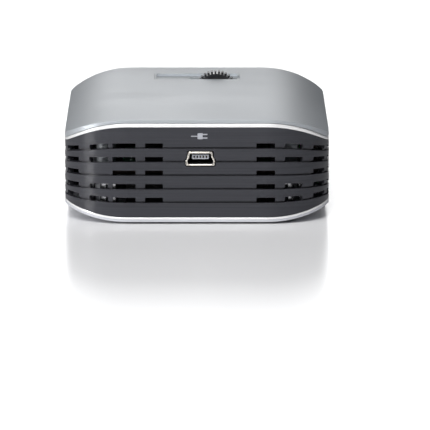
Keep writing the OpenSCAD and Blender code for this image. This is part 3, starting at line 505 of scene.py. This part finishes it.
def cylinder(name, sides, radius, height, centre, turn=(0, 0, 0)):
    """A closed cylinder along its own z, in millimetres, turned about its middle."""
    bpy.ops.object.select_all(action="DESELECT")
    bpy.ops.mesh.primitive_cylinder_add(vertices=sides, radius=radius * MM, depth=height * MM,
                                        location=centre * MM, rotation=turn)
    return named(name)


def enrol(piece, body, instead_of):
    """Gives the piece its body, and hides the frame parts it stands in for."""
    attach(piece, body)
    if instead_of:
        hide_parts(*instead_of)


def close_up(piece, body, slot, instead_of=(), angle=40):
    """Leaves edit mode, smooths the piece, and gives it its finish, body and slot."""
    bpy.ops.mesh.select_all(action="SELECT")
    bpy.ops.mesh.remove_doubles(threshold=WELD)
    bpy.ops.mesh.normals_make_consistent(inside=False)
    bpy.ops.object.mode_set(mode="OBJECT")
    bpy.ops.object.shade_smooth_by_angle(angle=math.radians(angle))
    piece.data.materials.clear()
    piece.data.materials.append(FINISHES[slot])
    enrol(piece, body, instead_of)
    print("piece", piece.name, len(piece.data.polygons), "faces")


def copy_of(piece, name, shift, body, instead_of):
    """Copies a finished piece, with a mesh of its own, shifted by so many millimetres."""
    bpy.ops.object.select_all(action="DESELECT")
    piece.select_set(True)
    bpy.context.view_layer.objects.active = piece
    bpy.ops.object.duplicate()
    bpy.context.object.location = Vector(shift) * MM
    enrol(named(name), body, instead_of)


print("the case's lid spans", [round(x, 2) for x in box_mm("top_cover")[1] - box_mm("top_cover")[0]])

# %% [markdown]
# The thumbwheel turns the lens ring, and a fingertip turns the wheel. It is
# moulded in black plastic with fat rounded teeth and a hollow ring in each
# side to keep the wall even. A tooth is drawn out of three facets of every
# six round the rim. The wheel's size and the ring's place set the teeth, so
# they still mesh with the ring's.

# %% Thumbwheel: teeth
TEETH = 36
FACETS = 6
ROOT_SHARE = 0.884
TOOTH_SHARE = 0.24
wheel_low, wheel_high = box_mm("focus_wheel")
ring_low, ring_high = box_mm("lens_ring")
hub = (wheel_low + wheel_high) / 2
ring_hub = (ring_low + ring_high) / 2
hub_at = tuple(hub * MM)
tip_r = (wheel_high.x - wheel_low.x) / 2
root_r = tip_r * ROOT_SHARE
wheel_width = wheel_high.y - wheel_low.y
tooth_turn = math.atan2(ring_hub.z - hub.z, ring_hub.x - hub.x)
facet_turn = math.pi / TEETH / FACETS
wheel = cylinder("ribbed_thumbwheel", TEETH * FACETS, root_r, wheel_width, hub,
                 (math.pi / 2, facet_turn - tooth_turn, 0))


def is_side(face):
    """True for a face on either side of the wheel."""
    return looks(face, "y", 1) or looks(face, "y", -1)


def from_hub(item):
    """Distance from the wheel's axis and share of a tooth pitch, 0 at a tooth's middle."""
    at = middle_of(item) - hub
    turn = (math.atan2(at.z, at.x) - tooth_turn) / (2 * math.pi) * TEETH
    return math.hypot(at.x, at.z), abs(turn - round(turn))


open_edit(wheel)
picked = pick(wheel, "faces", lambda f: not is_side(f) and from_hub(f)[1] < TOOTH_SHARE)
bpy.ops.mesh.extrude_region_move()
grow = tip_r / root_r
bpy.ops.transform.resize(value=(grow, 1, grow), center_override=hub_at)
print("tooth facets", picked, "for", TEETH, "teeth")

# %% Thumbwheel: rounded tips
TIP_ROUND = 0.17
TIP_BAND = 0.985


def tip_edge(edge):
    """True for the long edges along both sides of a tooth's tip."""
    far_out = all(math.hypot(v.co.x / MM - hub.x, v.co.z / MM - hub.z) > tip_r * TIP_BAND
                  for v in edge.verts)
    return far_out and span(edge, "y") > wheel_width / 2 and is_sharp(edge)


picked = pick(wheel, "edges", tip_edge)
round_off(TIP_ROUND, 3)
print("tip edges", picked)

# %% [markdown]
# Each side of the wheel is one many-cornered face, which two insets part
# into a rim, a hollow and a hub, and a third opens the bore. Scaling the two
# hollow rings towards the wheel's middle sinks both at once, and a bridge
# between the two open ends lines the bore.

# %% Thumbwheel: side hollows and bore
SIDE_RING = 4.7
HUB_RING = 2.2
BORE = 0.85
HOLLOW = 0.4
CAP_CORNERS = 60


def is_cap(face):
    """True for the many-cornered face that still closes each side."""
    return len(face.verts) > CAP_CORNERS


def in_hollow(face):
    """True for the ring of small faces between the rim and the hub."""
    return is_side(face) and not is_cap(face) and HUB_RING < from_hub(face)[0] < SIDE_RING


for inner, outer in ((SIDE_RING, root_r), (HUB_RING, SIDE_RING), (BORE, HUB_RING)):
    pick(wheel, "faces", is_cap)
    bpy.ops.mesh.inset(thickness=(outer - inner) * MM, use_individual=True)
picked = pick(wheel, "faces", in_hollow)
bpy.ops.mesh.extrude_region_move()
shrink = 1 - HOLLOW / (wheel_width / 2)
bpy.ops.transform.resize(value=(1, shrink, 1), center_override=hub_at)
pick(wheel, "faces", is_cap)
bpy.ops.mesh.delete(type="ONLY_FACE")
pick(wheel, "edges", lambda e: e.is_boundary)
bpy.ops.mesh.bridge_edge_loops()
close_up(wheel, "wheel", "wheel_black", ["focus_wheel"])
print("faces sunk at the sides", picked)

# %% [markdown]
# The data socket is a folded nickel shell with a rolled front rim, wide
# below and narrow above so that the plug goes in one way only. Inside it is
# a black sheet, painted shade for the dark hollow, and a small grey tongue
# that carries the five contacts. The shell and this black sheet share one
# outline, so one helper makes both bars.

# %% Socket outline
shell_low, shell_high = box_mm("usb_shell")
socket_x = (shell_low.x + shell_high.x) / 2
socket_z = (shell_low.z + shell_high.z) / 2
socket_half = (shell_high.x - shell_low.x) / 2
socket_half_high = (shell_high.z - shell_low.z) / 2
rim_front = shell_low.y
STEP_TOP = 0.6
STEP_LOW = -0.3
STEP_IN = 0.55
BEND = math.radians(20)


def socket_bar(name, shrink, front, back, corner):
    """A bar with the socket's outline, made smaller all round by shrink."""
    wide, high = socket_half - shrink, socket_half_high - shrink
    bar = block(name, (socket_x - wide, front, socket_z - high),
                (socket_x + wide, back, socket_z + high))
    open_edit(bar)
    for level in (STEP_TOP, STEP_LOW):
        cut_through("z", socket_z + level)
    pick(bar, "verts", lambda v: v.co.z / MM > socket_z + STEP_TOP - NEAR)
    narrow = (wide - STEP_IN) / wide
    bpy.ops.transform.resize(value=(narrow, 1, 1),
                             center_override=(socket_x * MM, 0, socket_z * MM))
    pick(bar, "edges", lambda e: span(e, "y") > NEAR and e.calc_face_angle(0) > BEND)
    bpy.ops.mesh.bevel(offset=corner * MM, segments=4, clamp_overlap=True)
    return bar


def is_front(face):
    """True for a face that looks out of the socket."""
    return looks(face, "y", -1)


print("socket", round(2 * socket_half, 2), "by", round(2 * socket_half_high, 2), "mm")

# %% Socket rim
RIM = 0.45
RIM_CORNER = 0.45
RIM_DEEP = 8.2
RIM_ROLL = 0.15
rim = socket_bar("socket_rim", 0, rim_front, shell_high.y, RIM_CORNER)
pick(rim, "faces", is_front)
bpy.ops.mesh.inset(thickness=RIM * MM)
draw_out(y=RIM_DEEP)
pick(rim, "edges", lambda e: is_sharp(e)
     and all(abs(v.co.y / MM - rim_front) < NEAR for v in e.verts))
round_off(RIM_ROLL, 3)
close_up(rim, "case", "socket_shell", ["usb_shell"], angle=50)

# %% Socket shade sheet
LINING = 0.1
LINING_GAP = 0.01
LINING_CORNER = 0.3
LINING_FRONT = 0.3
LINING_BACK = 8.1
LINING_DEEP = 7.6
# A black sheet inside the nickel shell: painted shade for the dark hollow of the socket.
shade_sheet = socket_bar("socket_shade_sheet", RIM + LINING_GAP, rim_front + LINING_FRONT,
                    rim_front + LINING_BACK, LINING_CORNER)
pick(shade_sheet, "faces", is_front)
bpy.ops.mesh.inset(thickness=LINING * MM)
draw_out(y=LINING_DEEP)
close_up(shade_sheet, "case", "part_black")

# %% [markdown]
# The tongue is a flat grey bar with five slots in its front end, one for
# each contact spring. The front face is cut into strips, and every second
# strip is pushed in.

# %% Socket tongue
CONTACTS = 5
SLOT_PITCH = 0.8
SLOT_HALF = 0.22
SLOT_LOW = 0.12
SLOT_HIGH = 0.78
SLOT_DEEP = 5.5
TONGUE_HALF = 2.2
TONGUE_FRONT = 0.7
TONGUE_BACK = 7.6
TONGUE_LOW = -0.12
TONGUE_HIGH = 1.02
TONGUE_ROUND = 0.22
slot_places = [socket_x + SLOT_PITCH * (k - (CONTACTS - 1) / 2) for k in range(CONTACTS)]
tongue = block("socket_tongue",
               (socket_x - TONGUE_HALF, rim_front + TONGUE_FRONT, socket_z + TONGUE_LOW),
               (socket_x + TONGUE_HALF, rim_front + TONGUE_BACK, socket_z + TONGUE_HIGH))
open_edit(tongue)
for slot_x in slot_places:
    cut_through("x", slot_x - SLOT_HALF)
    cut_through("x", slot_x + SLOT_HALF)
for level in (SLOT_LOW, SLOT_HIGH):
    cut_through("z", socket_z + level)


def slot_face(face):
    """True for the front faces where the contact slots go."""
    at = middle_of(face)
    across = (at.x - socket_x) / SLOT_PITCH
    return (is_front(face) and abs(across - round(across)) < NEAR
            and SLOT_LOW < at.z - socket_z < SLOT_HIGH)


picked = pick(tongue, "faces", slot_face)
draw_out(y=SLOT_DEEP)
pick(tongue, "edges", lambda e: span(e, "y") > SLOT_DEEP + NEAR and is_sharp(e))
round_off(TONGUE_ROUND, 3)
close_up(tongue, "case", "tongue_grey", ["usb_tongue"])
print("slots in the tongue", picked)

# %% [markdown]
# A contact spring lies at the bottom of each slot, well behind the front
# end, where it stays in shadow. One spring is shaped, and the other four
# are copies of it.

# %% Contact springs
SPRING_HALF = 0.17
SPRING_FRONT = 2.6
SPRING_BACK = 6.0
SPRING_LOW = SLOT_LOW + 0.02
SPRING_HIGH = SLOT_LOW + 0.2
SPRING_ROUND = 0.08
first_x = slot_places[0]
spring = block("contact_spring_1",
               (first_x - SPRING_HALF, rim_front + SPRING_FRONT, socket_z + SPRING_LOW),
               (first_x + SPRING_HALF, rim_front + SPRING_BACK, socket_z + SPRING_HIGH))
open_edit(spring)
pick(spring, "edges", lambda e: span(e, "x") > NEAR
     and all(v.co.y / MM < rim_front + SPRING_FRONT + NEAR for v in e.verts))
round_off(SPRING_ROUND, 2)
close_up(spring, "case", "contact_gold", ["usb_contacts"], angle=35)
for k in range(1, CONTACTS):
    copy_of(spring, f"contact_spring_{k + 1}", (SLOT_PITCH * k, 0, 0),
            "case", ["usb_contacts"])
print("contact springs", CONTACTS)

# %% [markdown]
# A small printed sign above the socket says what goes in. It is a plain
# plug: a cable, a body and two prongs, raised by a hair's breadth as screen
# ink is. The body is a box cut into bands. Two bands on one side are drawn
# out as prongs, and the middle band on the other side is the cable.

# %% Plug sign
INK = 0.015
SIGN_Z = 23.3
SIGN_LEFT = -0.75
SIGN_RIGHT = 0.6
SIGN_HALF = 0.8
PRONG_LOW = 0.32
PRONG_HIGH = 0.62
PRONG_LONG = 1.25
CABLE_HALF = 0.12
CABLE_LONG = 1.7
SIGN_ROUND = 0.55
face_y = cad_low.y / MM
sign = block("plug_sign", (socket_x + SIGN_LEFT, face_y - INK, SIGN_Z - SIGN_HALF),
             (socket_x + SIGN_RIGHT, face_y + 0.1, SIGN_Z + SIGN_HALF))
open_edit(sign)
for level in (-PRONG_HIGH, -PRONG_LOW, -CABLE_HALF, CABLE_HALF, PRONG_LOW, PRONG_HIGH):
    cut_through("z", SIGN_Z + level)


def from_sign(item):
    """How far a face's middle lies above or below the sign's middle."""
    return abs(middle_of(item).z - SIGN_Z)


def body_corner(edge):
    """True for the body's two corners on the cable's side."""
    return span(edge, "y") > NEAR and all(
        abs(v.co.z / MM - SIGN_Z) > SIGN_HALF - NEAR and v.co.x / MM < socket_x
        for v in edge.verts)


pick(sign, "faces", lambda f: looks(f, "x", 1) and PRONG_LOW < from_sign(f) < PRONG_HIGH)
draw_out(x=PRONG_LONG)
pick(sign, "faces", lambda f: looks(f, "x", -1) and from_sign(f) < CABLE_HALF)
draw_out(x=-CABLE_LONG)
pick(sign, "edges", body_corner)
round_off(SIGN_ROUND, 5)
close_up(sign, "case", "tongue_grey", angle=35)

# %% [markdown]
# Four soft rubber feet hold the machine off the table. Each has a rounded
# lower edge and a shallow dish in its sole, which grips better than a flat
# one. One foot is shaped and the other three are copies.

# %% Rubber feet
FOOT_R = 3.4
FOOT_SIDES = 48
FOOT_ROUND = 0.28
SOLE_RIM = 0.9
SOLE_DISH = 0.15
feet_low, feet_high = box_mm("rubber_feet")
foot_middle = Vector((feet_low.x + FOOT_R, feet_low.y + FOOT_R, (feet_low.z + feet_high.z) / 2))
foot = cylinder("rubber_foot_1", FOOT_SIDES, FOOT_R, feet_high.z - feet_low.z, foot_middle)
open_edit(foot)
pick(foot, "faces", lambda f: looks(f, "z", -1))
bpy.ops.mesh.bevel(offset=FOOT_ROUND * MM, segments=4, affect="EDGES")
pick(foot, "faces", lambda f: looks(f, "z", -1) and len(f.verts) == FOOT_SIDES)
bpy.ops.mesh.inset(thickness=SOLE_RIM * MM)
draw_out(z=SOLE_DISH)
close_up(foot, "case", "foot_rubber", ["rubber_feet"])
across = feet_high.x - feet_low.x - 2 * FOOT_R
along = feet_high.y - feet_low.y - 2 * FOOT_R
for number, (dx, dy) in enumerate(((across, 0), (0, along), (across, along)), 2):
    copy_of(foot, f"rubber_foot_{number}", (dx, dy, 0), "case", ["rubber_feet"])
print("feet", round(across, 1), "mm apart across and", round(along, 1), "mm along")

# %% [markdown]
# The two bright lines are pressed metal, and a pressed edge is never knife
# sharp. Each line is taken from the frame as it is, joined into one skin,
# cleared of flat seams, and given a small round on every sharp edge, which
# catches the light all the way round the case.

# %% Bright lines
SEAM = math.radians(0.3)
ROUND_FROM = math.radians(48)
ROUND_SEGMENTS = 3


def soften(node, name, radius):
    """Stands a copy with rounded edges in for a bright line. radius is in millimetres."""
    piece = bpy.data.objects.new(name, frame["nodes"][node].data.copy())
    bpy.context.collection.objects.link(piece)
    piece.data.name = name
    open_edit(piece)
    bpy.ops.mesh.customdata_custom_splitnormals_clear()
    bpy.ops.mesh.select_all(action="SELECT")
    bpy.ops.mesh.remove_doubles(threshold=WELD)
    bpy.ops.mesh.dissolve_limited(angle_limit=SEAM)
    bpy.ops.object.mode_set(mode="OBJECT")
    bevel = piece.modifiers.new("round_edges", "BEVEL")
    bevel.width = radius * MM
    bevel.segments = ROUND_SEGMENTS
    bevel.limit_method = "ANGLE"
    bevel.angle_limit = ROUND_FROM
    bevel.use_clamp_overlap = False
    bpy.ops.object.modifier_apply(modifier=bevel.name)
    open_edit(piece)
    close_up(piece, "case", "trim_bright", [node], angle=32)


soften("top_trim", "upper_bright_line", 0.25)
soften("bottom_trim", "lower_bright_line", 0.15)
